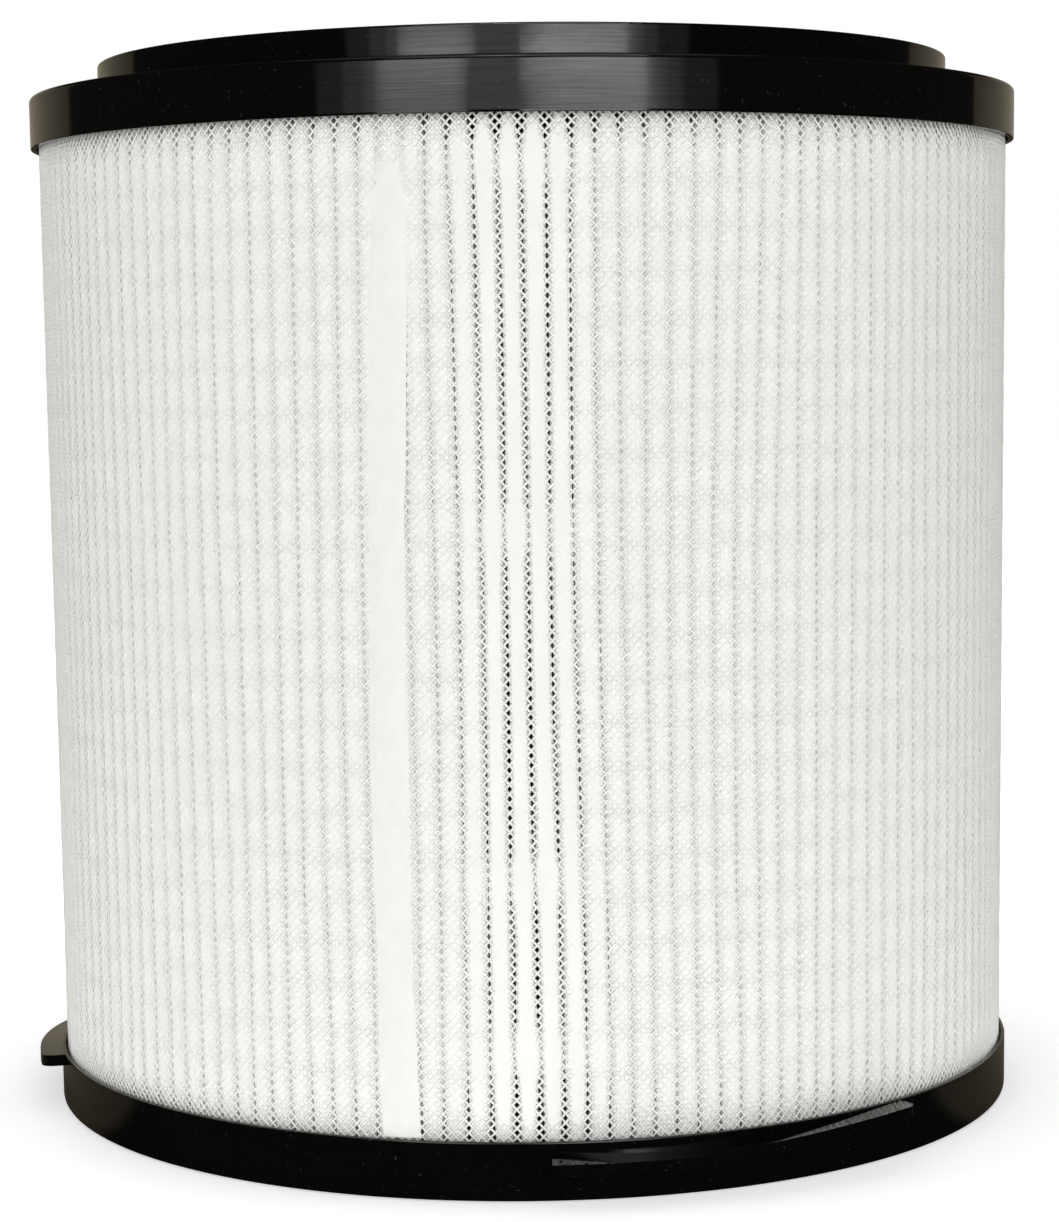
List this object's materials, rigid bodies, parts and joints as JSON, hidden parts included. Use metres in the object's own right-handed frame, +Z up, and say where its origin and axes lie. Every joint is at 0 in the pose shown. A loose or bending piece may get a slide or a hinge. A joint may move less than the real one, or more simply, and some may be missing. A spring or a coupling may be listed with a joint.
{
  "type": "air purifier filter",
  "caption": "Upright cylindrical air filter: a pleated media ring under diamond netting, between a collared top cap and a closed bottom cap with twist-lock lugs.",
  "frame": {"origin": "on the filter's axis, at the underside of the closed bottom cap", "axes": "+Z up along the filter's axis, -Y towards the side that the picture shows"},
  "size_m": [0.2061, 0.2061, 0.2131],
  "materials": {
    "top_cap": "moulded, glossy, faint scuffs",
    "bottom_cap": "moulded, glossy, faint scuffs",
    "net": "extruded white net",
    "seam": "melted smooth",
    "media": "non-woven filter paper",
    "core": "moulded black",
    "carbon": "fine black granules",
    "wrap": "thin non-woven",
    "glue": "cured hot glue"
  },
  "bodies": {
    "root": {"top_cap": "top_cap", "bottom_cap": "bottom_cap", "outer_net": "net", "net_seam": "seam", "pleated_media": "media", "inner_core": "core", "carbon_layer": "carbon", "carbon_wrap": "wrap", "top_adhesive": "glue", "bottom_adhesive": "glue"}
  },
  "joints": []
}
